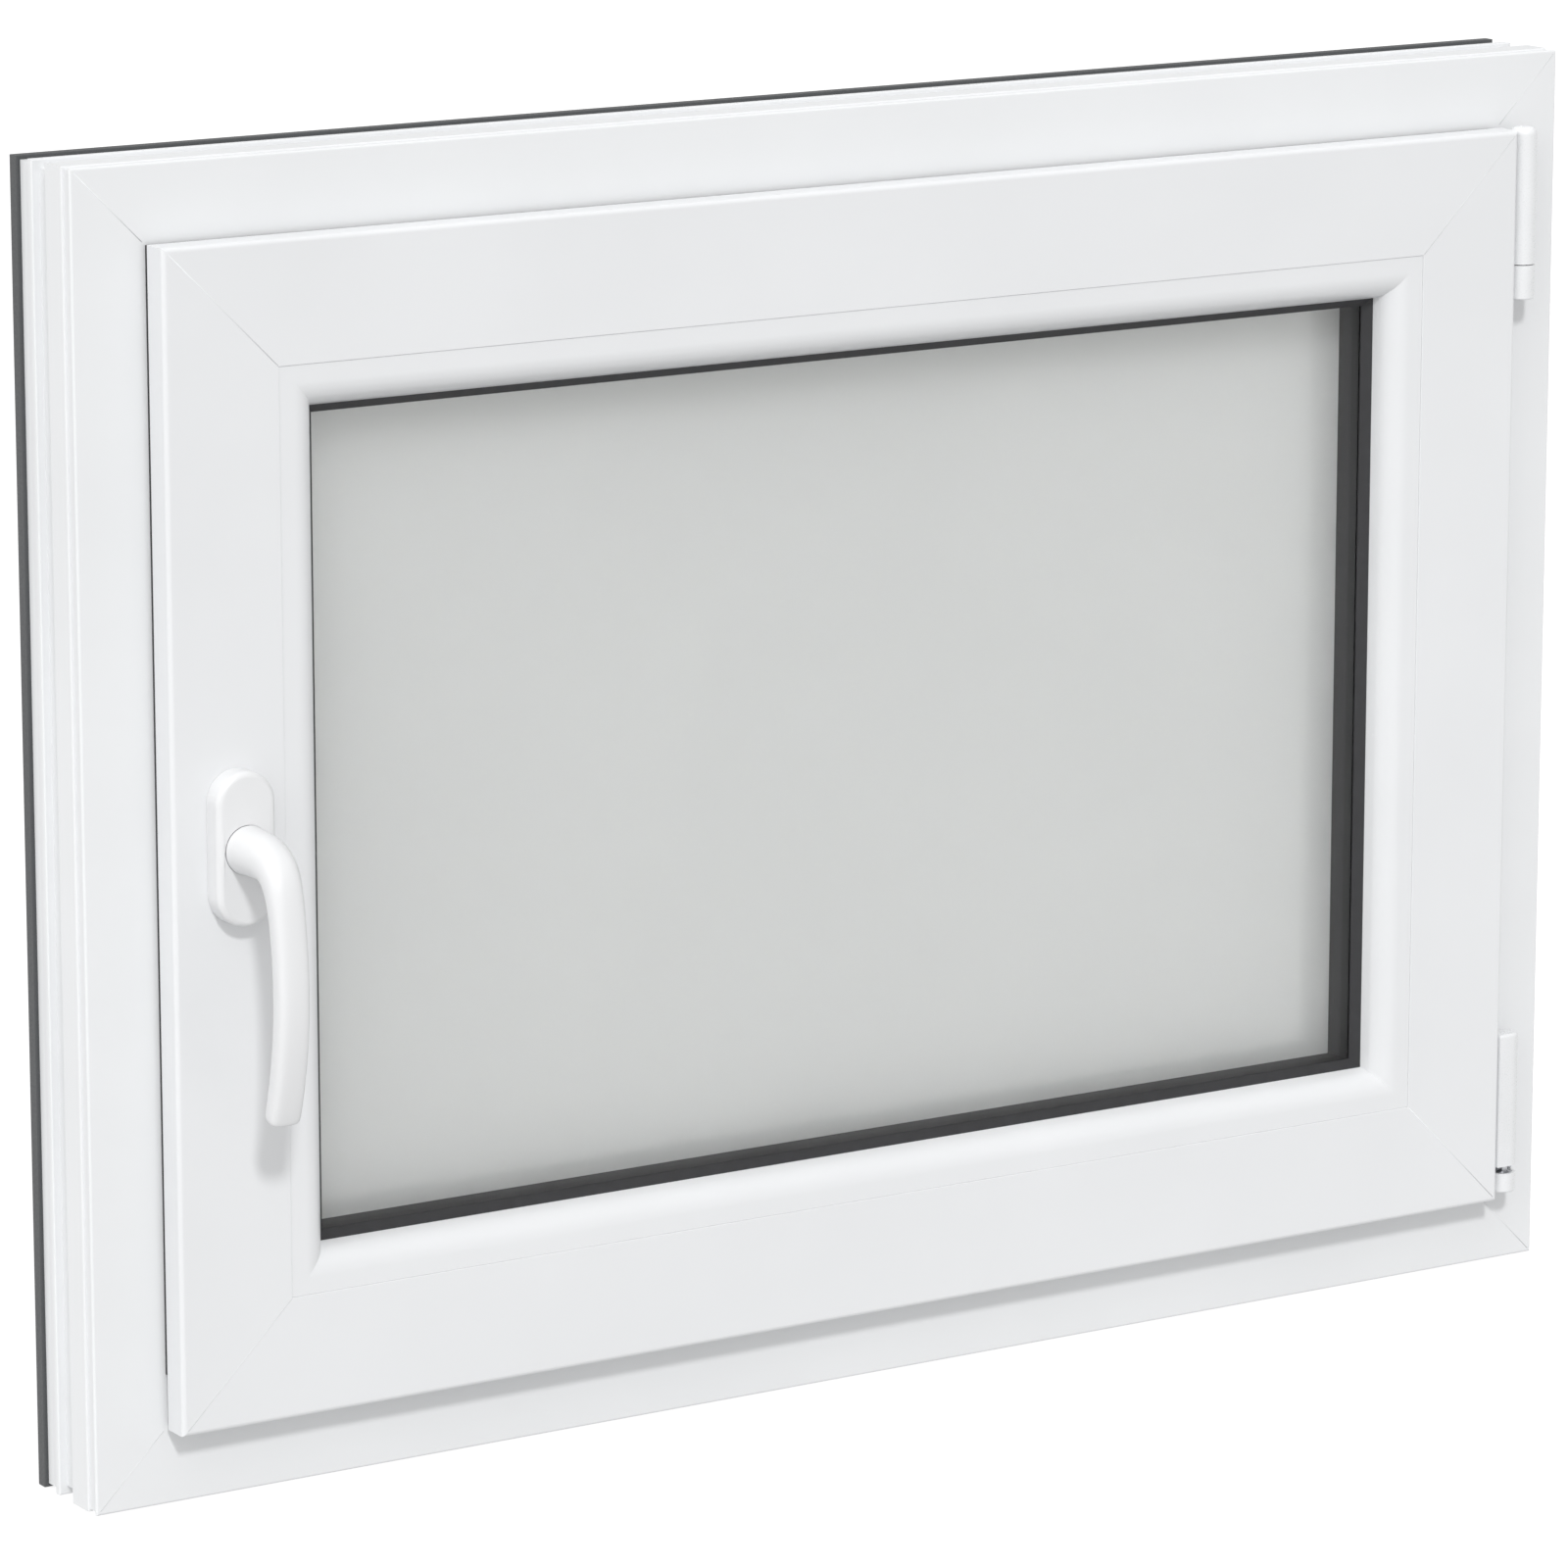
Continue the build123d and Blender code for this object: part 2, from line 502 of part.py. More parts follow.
with BuildPart() as sash_reinforcement:
    add(steel_tubes(SASH_STEEL, STEEL_END_GAP))
    block((LOCK_EDGE + SASH_EDGE, CASE_XS[1]), (0, GLASS_STOP - 2),
          (CASE_ZS[0] - CASE_CLEARANCE, CASE_ZS[1] + CASE_CLEARANCE), Mode.SUBTRACT)
    for z in BRACKET_SCREW_ZS:
        bar((LEAF_X, BRACKET_SCREW_DEPTH, z), LEFT, SCREW_CORE_R, BRACKET_SCREW_LENGTH, Mode.SUBTRACT)
save(sash_reinforcement.part, "sash_reinforcement")

# ---- glazing ----
BEAD_FACE = -16.6
BEAD_BACK = -3.0
BEAD_CROWN = 107.0           # inset where the bead's rounded front turns towards the glass
BEAD_NOSE = (-4.8, 111.0)
BEAD_OUTLINE = [
    (BEAD_FACE, GLAZING_FLOOR), (BEAD_FACE, BEAD_CROWN), BEAD_NOSE,
    (BEAD_BACK, BEAD_NOSE[1]), (BEAD_BACK, GLAZING_FLOOR),
]
BEAD_ROUNDS = [((BEAD_FACE, BEAD_CROWN), 12.0), ((BEAD_FACE, GLAZING_FLOOR), 0.3)]
BEAD_CHAMBER = box_points((-13.4, -6), (93.5, 101))
for side in SIDES:
    save(mitred(side, BEAD_OUTLINE, BEAD_ROUNDS, [BEAD_CHAMBER]), f"glazing_bead_{side}")

SEAL_INSET = 104.0
SPACER_INSET = 106.0
SEAL_EDGE = 115.0            # the bead's gasket shows as a thin dark line on the glass
GAP_DEPTHS = (PANE, UNIT_DEPTH - PANE)
save(ring([(BEAD_BACK, SEAL_INSET), (0, SEAL_INSET), (0, SEAL_EDGE), (-0.8, SEAL_EDGE), BEAD_NOSE,
           (BEAD_BACK, BEAD_NOSE[1])]), "bead_gasket")
save(ring([(UNIT_DEPTH, 100), (GLASS_STOP, 100), (GLASS_STOP, SASH_GLASS_LIP + SKIN), (UNIT_DEPTH, 111.8)]),
     "outer_glazing_gasket")
save(ring(box_points(GAP_DEPTHS, (SPACER_INSET, SIGHT_LINE))), "glass_spacer")
save(ring(box_points(GAP_DEPTHS, (GLASS_EDGE, SPACER_INSET))), "glass_edge_seal")
save(panel((0, PANE), GLASS_EDGE), "glass_pane_inner")
save(panel((UNIT_DEPTH - PANE, UNIT_DEPTH), GLASS_EDGE), "glass_pane_outer")

PACKER_LENGTH = 90.0
PACKER_SETBACK = 60.0
PACKER_THICK = GLASS_EDGE - GLAZING_FLOOR
OPENING_HALF = WIDTH / 2 - GLAZING_FLOOR
with BuildPart() as glazing_packers:
    for way in (-1, 1):
        x = way * (WIDTH / 2 - GROOVE_FLOOR - PACKER_SETBACK - PACKER_LENGTH / 2)
        packer_xs = (x - PACKER_LENGTH / 2, x + PACKER_LENGTH / 2)
        for z in (GLAZING_FLOOR, HEIGHT - GLASS_EDGE):
            block(packer_xs, (0, UNIT_DEPTH), (z, z + PACKER_THICK))
        edge_xs = sorted((way * OPENING_HALF, way * (OPENING_HALF - PACKER_THICK)))
        for z in (GLAZING_FLOOR + PACKER_SETBACK, HEIGHT - GLAZING_FLOOR - PACKER_SETBACK - PACKER_LENGTH):
            block(edge_xs, (0, UNIT_DEPTH), (z, z + PACKER_LENGTH))
save(glazing_packers.part, "glazing_packers")

# The sash's gasket: a thin strip all round, which clears the frame when the tilted sash dips below its
# axis, and a taller sealing lip along the lock stile and the top rail, which only move away from it.
GASKET_STRIP = (40.5, REBATE)
GASKET_LIP = (LIP_INSET + 0.3, GASKET_STRIP[0])
STRIP_THICK, LIP_THICK = 0.8, 2.1
LIP_START_Z = 60.0           # the lip starts above the tilt axis
LIP_DEPTHS = (LIP_BACK, LIP_BACK + LIP_THICK)
SASH_GASKET_NOTCHES = [(BRACKET_ZS[0] - 1, BRACKET_ZS[1] + 1), (CRANK_ZS[0] - 2, CRANK_ZS[1] + 2)]
with BuildPart() as sash_gasket:
    add(ring(box_points((LIP_BACK, LIP_BACK + STRIP_THICK), GASKET_STRIP)))
    block((LOCK_EDGE + GASKET_LIP[0], LOCK_EDGE + GASKET_LIP[1]), LIP_DEPTHS,
          (LIP_START_Z, HEIGHT - GASKET_LIP[0]))
    block((LOCK_EDGE + GASKET_LIP[0], WIDTH / 2 - GASKET_LIP[1]), LIP_DEPTHS,
          (HEIGHT - GASKET_LIP[1], HEIGHT - GASKET_LIP[0]))
    for notch in SASH_GASKET_NOTCHES:
        block((LEAF_X, SASH_RIGHT), (LIP_BACK, 0), notch, Mode.SUBTRACT)
save(sash_gasket.part, "sash_gasket")

# ---- espagnolette gear in the lock stile ----
PLATE_XS = (LOCK_EDGE + PLATE_INSETS[0], LOCK_EDGE + PLATE_INSETS[1])
PLATE_ZS = (110.0, 490.0)
PLATE_SCREW_SETBACK = 12.0
CAM_SLOT_HALF = 3.6
CAM_SLOT_MARGIN = 4.0
SHANK_R, SHANK_LENGTH = 3.0, 3.0
CAM_R, CAM_LENGTH = 4.0, 5.4
with BuildPart() as lock_faceplate:
    block(PLATE_XS, PLATE_DEPTHS, PLATE_ZS)
    for z in CAM_HEIGHTS:
        block(PLATE_XS, (CAM_DEPTH - CAM_SLOT_HALF, CAM_DEPTH + CAM_SLOT_HALF),
              (z - ROD_TRAVEL - CAM_SLOT_MARGIN, z + CAM_SLOT_MARGIN), Mode.SUBTRACT)
    for z in (PLATE_ZS[0] + PLATE_SCREW_SETBACK, HANDLE_Z, PLATE_ZS[1] - PLATE_SCREW_SETBACK):
        bar((PLATE_XS[0], CAM_DEPTH, z), RIGHT, SCREW_CORE_R, PLATE_XS[1] - PLATE_XS[0], Mode.SUBTRACT)
save(lock_faceplate.part, "lock_faceplate")

ROD_XS = (LOCK_EDGE + ROD_INSETS[0], LOCK_EDGE + ROD_INSETS[1])
ROD_ZS = (142.0, 470.0)
RACK_TEETH = 20
RACK_START = -5.5            # first tooth, in pitches below the handle's axis, with a gap facing the axis
RACK_SINK = 0.2              # the teeth run into the rod so that they join it
TOOTH_HALF = 0.62            # half the tooth's thickness at the root, less than a quarter pitch: backlash
TIP_HALF = 0.34
PITCH = pi * MODULE
TOOTH_TOP = 2.1 * MODULE
with BuildPart() as drive_rod:
    block(ROD_XS, ROD_DEPTHS, ROD_ZS)
    with BuildSketch(upright(GEAR_DEPTHS[0], ROD_XS[1], HANDLE_Z)):
        for step in range(RACK_TEETH):
            z = (step + RACK_START) * PITCH
            Polygon((-RACK_SINK, z - TOOTH_HALF), (TOOTH_TOP, z - TIP_HALF), (TOOTH_TOP, z + TIP_HALF),
                    (-RACK_SINK, z + TOOTH_HALF), align=None)
    extrude(amount=GEAR_DEPTHS[0] - GEAR_DEPTHS[1])
save(drive_rod.part, "drive_rod")

with BuildPart() as locking_cams:
    for z in CAM_HEIGHTS:
        bar((ROD_XS[0], CAM_DEPTH, z), LEFT, SHANK_R, SHANK_LENGTH)
        bar((ROD_XS[0] - SHANK_LENGTH + 0.2, CAM_DEPTH, z), LEFT, CAM_R, CAM_LENGTH)
    fillet(locking_cams.edges().filter_by(GeomType.CIRCLE).group_by(Axis.X)[0], 0.8)
save(locking_cams.part, "locking_cams")

ROOT_R = PITCH_R - 1.15 * MODULE
TIP_R = PITCH_R + 0.85 * MODULE
PINION_ROOT_HALF, PINION_TIP_HALF = 0.8, 0.36
SIDE_PLAY = 0.3              # between the pinion's faces and its pocket in the case
JOURNAL_LENGTH = GEAR_DEPTHS[0] - CASE_DEPTHS[0] - SIDE_PLAY
SQUARE_XS = (HANDLE_X - SPINDLE / 2, HANDLE_X + SPINDLE / 2)
SQUARE_ZS = (HANDLE_Z - SPINDLE / 2, HANDLE_Z + SPINDLE / 2)
with BuildPart() as gear_pinion:
    with BuildSketch(upright(GEAR_DEPTHS[1], HANDLE_X, HANDLE_Z)):
        Circle(ROOT_R)
        with PolarLocations(0, TEETH, start_angle=180):
            Polygon((ROOT_R - 0.5, -PINION_ROOT_HALF), (TIP_R, -PINION_TIP_HALF),
                    (TIP_R, PINION_TIP_HALF), (ROOT_R - 0.5, PINION_ROOT_HALF), align=None)
    extrude(amount=GEAR_DEPTHS[1] - GEAR_DEPTHS[0])
    bar((HANDLE_X, GEAR_DEPTHS[0] - JOURNAL_LENGTH, HANDLE_Z), OUTDOORS, JOURNAL_R - RUN, JOURNAL_LENGTH)
    bar((HANDLE_X, GEAR_DEPTHS[1], HANDLE_Z), OUTDOORS, JOURNAL_R - RUN, JOURNAL_LENGTH)
    block(SQUARE_XS, CASE_DEPTHS, SQUARE_ZS, Mode.SUBTRACT)
save(gear_pinion.part, "gear_pinion")

SCREW_GRIP = 7.0             # how far the handle's screws run into the case
with BuildPart() as gearbox_case:
    block(CASE_XS, CASE_DEPTHS, CASE_ZS)
    bar((HANDLE_X, GEAR_DEPTHS[0] - SIDE_PLAY, HANDLE_Z), OUTDOORS, TIP_R + 2 * SIDE_PLAY,
        GEAR_DEPTHS[1] - GEAR_DEPTHS[0] + 2 * SIDE_PLAY, Mode.SUBTRACT)
    bar((HANDLE_X, CASE_DEPTHS[0], HANDLE_Z), OUTDOORS, JOURNAL_R, CASE_DEPTHS[1] - CASE_DEPTHS[0],
        Mode.SUBTRACT)
    for z in BASE_SCREW_ZS:
        bar((HANDLE_X, CASE_DEPTHS[0], z), OUTDOORS, SCREW_R, SCREW_GRIP + 1, Mode.SUBTRACT)
save(gearbox_case.part, "gearbox_case")

# Corner drives turn the gear's stroke round the sash's lock-side corners.
CORNER_LEG = 50.0
with BuildPart() as corner_drives:
    for corner_z, way in ((PLATE_INSETS[0], 1), (HEIGHT - PLATE_INSETS[0], -1)):
        plate_zs = sorted((corner_z, corner_z + 2 * way))
        leg_zs = sorted((corner_z, corner_z + way * CORNER_LEG))
        block(PLATE_XS, PLATE_DEPTHS, leg_zs)
        block((PLATE_XS[0], PLATE_XS[0] + CORNER_LEG), PLATE_DEPTHS, plate_zs)
    fillet(corner_drives.edges().filter_by(Axis.Y).group_by(Axis.X)[0].group_by(Axis.Z)[0], 1.5)
    fillet(corner_drives.edges().filter_by(Axis.Y).group_by(Axis.X)[0].group_by(Axis.Z)[-1], 1.5)
save(corner_drives.part, "corner_drives")

GUIDE_XS, GUIDE_DEPTHS, GUIDE_THICK = (40.0, 230.0), (1.0, 19.0), 1.2
FLANGE_XS, FLANGE_HEIGHT = (60.0, 190.0), 2.6
GROOVE_TOP = HEIGHT - SASH_EDGE
with BuildPart() as stay_guide:
    block(GUIDE_XS, GUIDE_DEPTHS, (GROOVE_TOP, GROOVE_TOP + GUIDE_THICK))
    for start in (GUIDE_DEPTHS[0], GUIDE_DEPTHS[1] - GUIDE_THICK):
        block(FLANGE_XS, (start, start + GUIDE_THICK), (GROOVE_TOP, GROOVE_TOP + FLANGE_HEIGHT))
save(stay_guide.part, "stay_guide")

# ---- handle ----
ROSETTE_WIDTH, ROSETTE_LENGTH = 29.0, 69.5
BASE_WIDTH, BASE_LENGTH, BASE_THICK = 24.4, 64.0, 6.0
NECK_R = 10.6
ROSETTE_WALL = 2.4
HUB_R = 8.0
HUB_BACK = SASH_FACE - 1.0
NECK_FRONT = -66.5
with BuildPart() as handle_base:
    with BuildSketch(upright(SASH_FACE, HANDLE_X, HANDLE_Z)):
        SlotOverall(BASE_LENGTH, BASE_WIDTH, rotation=90)
        Circle(HUB_R + RUN, mode=Mode.SUBTRACT)
        with Locations((0, SCREW_SPACING / 2), (0, -SCREW_SPACING / 2)):
            Circle(SCREW_R, mode=Mode.SUBTRACT)
    extrude(amount=BASE_THICK)
save(handle_base.part, "handle_base")

with BuildPart() as handle_rosette:
    with BuildSketch(upright(SASH_FACE, HANDLE_X, HANDLE_Z)):
        SlotOverall(ROSETTE_LENGTH, ROSETTE_WIDTH, rotation=90)
    extrude(amount=ROSETTE_HEIGHT)
    fillet(handle_rosette.faces().sort_by(Axis.Y)[0].edges(), 2.9)
    with BuildSketch(upright(SASH_FACE, HANDLE_X, HANDLE_Z)):
        SlotOverall(BASE_LENGTH, BASE_WIDTH, rotation=90)
    extrude(amount=ROSETTE_HEIGHT - ROSETTE_WALL, mode=Mode.SUBTRACT)
    bar((HANDLE_X, SASH_FACE, HANDLE_Z), ROOM, NECK_R + 0.4, ROSETTE_HEIGHT, Mode.SUBTRACT)
save(handle_rosette.part, "handle_rosette")

SCREW_HEAD_R, SCREW_HEAD = 4.4, 2.2
SCREW_LENGTH = BASE_THICK - SASH_FACE + CASE_DEPTHS[0] + SCREW_GRIP
with BuildPart() as handle_screws:
    for z in BASE_SCREW_ZS:
        bar((HANDLE_X, SASH_FACE - BASE_THICK, z), ROOM, SCREW_HEAD_R, SCREW_HEAD)
        bar((HANDLE_X, SASH_FACE - BASE_THICK, z), OUTDOORS, SCREW_R, SCREW_LENGTH)
save(handle_screws.part, "handle_screws")

GRIP_WIDTH, GRIP_THICK = 15.2, 11.2
GRIP_TOP_Z, GRIP_TIP_Z = HANDLE_Z + 4, HANDLE_Z - 116.5
GRIP_TOP_DEPTH, GRIP_MID_DEPTH, GRIP_TIP_DEPTH = -60.5, -66.0, -55.0
SPINDLE_FRONT = -55.0
grip_start = Vector(HANDLE_X, ROOM_FACE_Y + GRIP_TOP_DEPTH, GRIP_TOP_Z)
grip_middle = Vector(HANDLE_X, ROOM_FACE_Y + GRIP_MID_DEPTH, (GRIP_TOP_Z + GRIP_TIP_Z) / 2)
grip_tip = Vector(HANDLE_X, ROOM_FACE_Y + GRIP_TIP_DEPTH, GRIP_TIP_Z)
HUB_FRONT = SASH_FACE - ROSETTE_HEIGHT
with BuildPart() as handle_lever:
    bar((HANDLE_X, HUB_FRONT + 1, HANDLE_Z), ROOM, NECK_R, HUB_FRONT + 1 - NECK_FRONT)
    fillet(handle_lever.faces().sort_by(Axis.Y)[0].edges(), 5.5)
    bar((HANDLE_X, HUB_BACK, HANDLE_Z), ROOM, HUB_R, HUB_BACK - HUB_FRONT)
    with BuildLine() as grip_path:
        ThreePointArc(grip_start, grip_middle, grip_tip)
    with BuildSketch(Plane(origin=grip_start, x_dir=(1, 0, 0), z_dir=grip_path.line % 0)):
        RectangleRounded(GRIP_WIDTH, GRIP_THICK, 3.5)
    sweep()
    block(SQUARE_XS, (SPINDLE_FRONT, 0), SQUARE_ZS, Mode.SUBTRACT)
save(handle_lever.part, "handle_lever")

with BuildPart() as handle_spindle:
    block(SQUARE_XS, (SPINDLE_FRONT, CASE_DEPTHS[1]), SQUARE_ZS)
save(handle_spindle.part, "handle_spindle")
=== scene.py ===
import json
import math

import bmesh
import bpy
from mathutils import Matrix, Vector


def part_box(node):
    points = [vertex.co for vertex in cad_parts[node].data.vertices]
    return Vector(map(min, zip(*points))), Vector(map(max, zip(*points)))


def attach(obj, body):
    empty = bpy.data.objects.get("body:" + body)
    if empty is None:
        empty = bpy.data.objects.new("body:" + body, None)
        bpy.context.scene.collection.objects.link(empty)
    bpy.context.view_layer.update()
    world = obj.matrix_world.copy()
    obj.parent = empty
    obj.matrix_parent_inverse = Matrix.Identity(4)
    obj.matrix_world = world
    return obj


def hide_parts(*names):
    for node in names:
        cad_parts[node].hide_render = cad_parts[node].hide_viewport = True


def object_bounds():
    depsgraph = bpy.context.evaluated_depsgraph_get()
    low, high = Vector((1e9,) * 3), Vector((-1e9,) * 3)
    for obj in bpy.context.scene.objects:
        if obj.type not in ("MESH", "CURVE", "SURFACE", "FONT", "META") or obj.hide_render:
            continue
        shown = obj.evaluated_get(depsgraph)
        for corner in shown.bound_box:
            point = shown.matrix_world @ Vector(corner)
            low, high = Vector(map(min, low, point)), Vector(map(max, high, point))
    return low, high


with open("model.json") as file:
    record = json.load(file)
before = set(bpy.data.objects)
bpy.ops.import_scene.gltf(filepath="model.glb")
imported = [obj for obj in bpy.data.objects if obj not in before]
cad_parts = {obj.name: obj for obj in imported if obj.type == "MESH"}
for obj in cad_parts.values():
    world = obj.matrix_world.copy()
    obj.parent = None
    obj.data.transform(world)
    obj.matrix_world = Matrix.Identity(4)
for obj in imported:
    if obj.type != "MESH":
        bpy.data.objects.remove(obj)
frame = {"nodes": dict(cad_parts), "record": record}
CAD_LOW, CAD_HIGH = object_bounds()
NODES = frame["nodes"]
MM = 0.001

# ---- the camera: its place in metres, its level direction and how far down it looks ----
CAMERA_PLACE = Vector((-1.840, -2.860, 1.028))
CAMERA_AZIMUTH = math.radians(32.33)
CAMERA_DROP = math.radians(12.37)
CAMERA_LENS = 172.2
CAMERA_REACH = 100
SENSOR_WIDTH = 36.0

# ---- studio light: direction of travel, strength and angular spread in degrees ----
STUDIO_LIGHTS = {
    "key": (Vector((0.287, 0.729, -0.622)), 1.35, 7),
    "fill": (Vector((0.70, 0.22, -0.68)), 0.85, 70),
    "side": (Vector((1, 0, -0.05)), 0.28, 40),
    "overhead": (Vector((0, 0, -1)), 0.25, 40),
}
ROOM_LIGHT = 0.62            # brightness of the room all round, as the object sees it
BACKGROUND_LIGHT = 1.05      # brightness where the camera looks past everything
FLOOR_SIZE = 60
FLOOR_DROP = 0.5 * MM        # how far the floor lies below the sill
FLOOR_GREYS = ((0.24, 0.24, 0.24), (0.25, 0.25, 0.25))
FLOOR_GLOW = 0.86            # brings the floor up to the white of the background


# ---- node helpers ----
def new_material(name):
    """A material with an empty node tree but for its output and one principled shader."""
    material = bpy.data.materials.new(name)
    material.use_nodes = True
    tree = material.node_tree
    shader = tree.nodes["Principled BSDF"]
    return material, tree, shader


def node(tree, kind, **inputs):
    """Adds a shader node, with its input values given by socket name."""
    made = tree.nodes.new(kind)
    for socket, value in inputs.items():
        made.inputs[socket.replace("_", " ")].default_value = value
    return made


def object_space(tree, stretch=(1, 1, 1)):
    """Coordinates in metres that stay with the piece, scaled by axis."""
    place = tree.nodes.new("ShaderNodeTexCoord")
    mapping = tree.nodes.new("ShaderNodeMapping")
    mapping.inputs["Scale"].default_value = stretch
    tree.links.new(place.outputs["Object"], mapping.inputs["Vector"])
    return mapping.outputs["Vector"]


def noise(tree, coordinates, scale, detail=3.0, roughness=0.5):
    """Cloudy values between 0 and 1; a larger scale is a finer pattern."""
    made = node(tree, "ShaderNodeTexNoise", Scale=scale, Detail=detail, Roughness=roughness)
    tree.links.new(coordinates, made.inputs["Vector"])
    return made.outputs["Fac"]


def ramp(tree, source, low, high, start=0.35, stop=0.65):
    """Maps a 0 to 1 value onto the span from low to high."""
    made = node(tree, "ShaderNodeMapRange", From_Min=start, From_Max=stop, To_Min=low, To_Max=high)
    tree.links.new(source, made.inputs["Value"])
    return made.outputs["Result"]


def tint(tree, source, dark, light):
    """Colour between two tones, chosen by a 0 to 1 value."""
    made = tree.nodes.new("ShaderNodeMix")
    made.data_type = "RGBA"
    made.inputs["A"].default_value = (*dark, 1)
    made.inputs["B"].default_value = (*light, 1)
    tree.links.new(source, made.inputs["Factor"])
    return made.outputs["Result"]


def scaled(tone, share):
    """A tone made darker or lighter."""
    return [channel * share for channel in tone]


def colour(tree, shader, source, first, second, start=0.35, stop=0.65):
    """Gives the shader a colour that drifts from the first tone to the second as the source rises."""
    drift = ramp(tree, source, 0, 1, start, stop)
    tree.links.new(tint(tree, drift, first, second), shader.inputs["Base Color"])


def gloss(tree, shader, source, smooth, rough):
    """Gives the shader a roughness that varies with the source between two values."""
    tree.links.new(ramp(tree, source, smooth, rough), shader.inputs["Roughness"])


def bump(tree, shader, height, depth_mm):
    """Raises the surface by up to the given depth where the height value is 1."""
    made = node(tree, "ShaderNodeBump", Strength=1.0, Distance=depth_mm * MM)
    tree.links.new(height, made.inputs["Height"])
    tree.links.new(made.outputs["Normal"], shader.inputs["Normal"])


def add_up(tree, first, second):
    """The sum of two values."""
    made = tree.nodes.new("ShaderNodeMath")
    made.operation = "ADD"
    tree.links.new(first, made.inputs[0])
    tree.links.new(second, made.inputs[1])
    return made.outputs[0]


# ---- materials ----
def extruded_plastic(name, tone, along, roughness=0.34):
    """White window plastic: faint die lines along the length, and a slight cloudiness."""
    material, tree, shader = new_material(name)
    colour(tree, shader, noise(tree, object_space(tree), 9.0), scaled(tone, 0.975), tone)
    stretch = [0.02 if axis == along else 1.0 for axis in "XYZ"]
    die_lines = noise(tree, object_space(tree, stretch), 900.0, detail=2.0)
    peel = noise(tree, object_space(tree), 260.0, detail=1.0)
    gloss(tree, shader, die_lines, roughness - 0.05, roughness + 0.05)
    bump(tree, shader, add_up(tree, die_lines, peel), 0.012)
    shader.inputs["IOR"].default_value = 1.53
    return material


def moulded_plastic(name, tone, roughness, grain_mm=0.01):
    """Injection-moulded plastic: an even fine grain and slight variation of gloss."""
    material, tree, shader = new_material(name)
    where = object_space(tree)
    colour(tree, shader, noise(tree, where, 35.0), scaled(tone, 0.95), tone)
    grain = noise(tree, where, 1400.0, detail=2.0)
    gloss(tree, shader, grain, roughness - 0.04, roughness + 0.05)
    bump(tree, shader, grain, grain_mm)
    return material


def powder_coat(name, tone, roughness):
    """Baked powder paint: a fine orange-peel surface with specks of a lighter tone."""
    material, tree, shader = new_material(name)
    where = object_space(tree)
    peel = noise(tree, where, 700.0, detail=2.0)
    speck = noise(tree, where, 2600.0, detail=0.0)
    colour(tree, shader, speck, tone, scaled(tone, 1.22), 0.45, 0.75)
    gloss(tree, shader, peel, roughness - 0.06, roughness + 0.06)
    bump(tree, shader, peel, 0.03)
    return material


def gloss_paint(name, tone):
    """Smooth white paint on a cast lever, with a clear gloss over a fine even skin."""
    material, tree, shader = new_material(name)
    where = object_space(tree)
    cloud = noise(tree, where, 22.0)
    colour(tree, shader, cloud, scaled(tone, 0.99), tone)
    gloss(tree, shader, cloud, 0.34, 0.37)
    bump(tree, shader, noise(tree, where, 1400.0, detail=1.0), 0.003)
    shader.inputs["Coat Weight"].default_value = 0.1
    shader.inputs["Coat Roughness"].default_value = 0.15
    return material


def rubber(name, tone):
    """Black sealing rubber: matt, a little dusty on the high spots."""
    material, tree, shader = new_material(name)
    where = object_space(tree)
    dust = noise(tree, where, 160.0, detail=4.0)
    colour(tree, shader, dust, tone, scaled(tone, 1.7), 0.4, 0.8)
    gloss(tree, shader, dust, 0.62, 0.78)
    bump(tree, shader, noise(tree, where, 1800.0), 0.02)
    return material


def plated_steel(name, tone, roughness, along="Z", spangle=120.0):
    """Zinc-plated steel: rolling marks along one axis, and a plating whose patches are set by spangle."""
    material, tree, shader = new_material(name)
    cloud = noise(tree, object_space(tree), spangle, detail=4.0)
    colour(tree, shader, cloud, scaled(tone, 0.82), tone)
    stretch = [0.03 if axis == along else 1.0 for axis in "XYZ"]
    marks = noise(tree, object_space(tree, stretch), 1500.0, detail=3.0)
    gloss(tree, shader, marks, roughness - 0.08, roughness + 0.1)
    bump(tree, shader, marks, 0.008)
    shader.inputs["Metallic"].default_value = 1.0
    return material


def float_glass(name, tone, clarity, index=1.5):
    """Glass with a trace of surface haze: clarity is the share of light that it lets through."""
    material, tree, shader = new_material(name)
    haze = noise(tree, object_space(tree), 3.0, detail=2.0)
    colour(tree, shader, haze, scaled(tone, 0.99), tone)
    gloss(tree, shader, haze, 0.0, 0.015)
    shader.inputs["IOR"].default_value = index
    shader.inputs["Transmission Weight"].default_value = clarity
    return material


WHITE = (0.782, 0.791, 0.803)
FRAME_WHITE = (0.80, 0.81, 0.82)
LENGTHWAYS = {"X": "across", "Z": "upright"}
PLASTIC = {axis: extruded_plastic(f"white_plastic_{word}", WHITE, axis) for axis, word in LENGTHWAYS.items()}
FRAME_PLASTIC = {
    axis: extruded_plastic(f"frame_plastic_{word}", FRAME_WHITE, axis, roughness=0.38)
    for axis, word in LENGTHWAYS.items()
}
CLADDING = powder_coat("anthracite_coat", (0.055, 0.058, 0.061), 0.5)
COVER_WHITE = moulded_plastic("cover_plastic", FRAME_WHITE, 0.3, grain_mm=0.006)
RUBBER = rubber("gasket_rubber", (0.022, 0.022, 0.024))
EDGE_BLACK = moulded_plastic("edge_seal_black", (0.02, 0.02, 0.022), 0.55, grain_mm=0.02)
CLEAR_PANE = float_glass("clear_pane", (0.975, 0.98, 0.975), 1.0, index=1.28)
MILKY_PANE = float_glass("milky_pane", (0.865, 0.875, 0.869), 0.12)
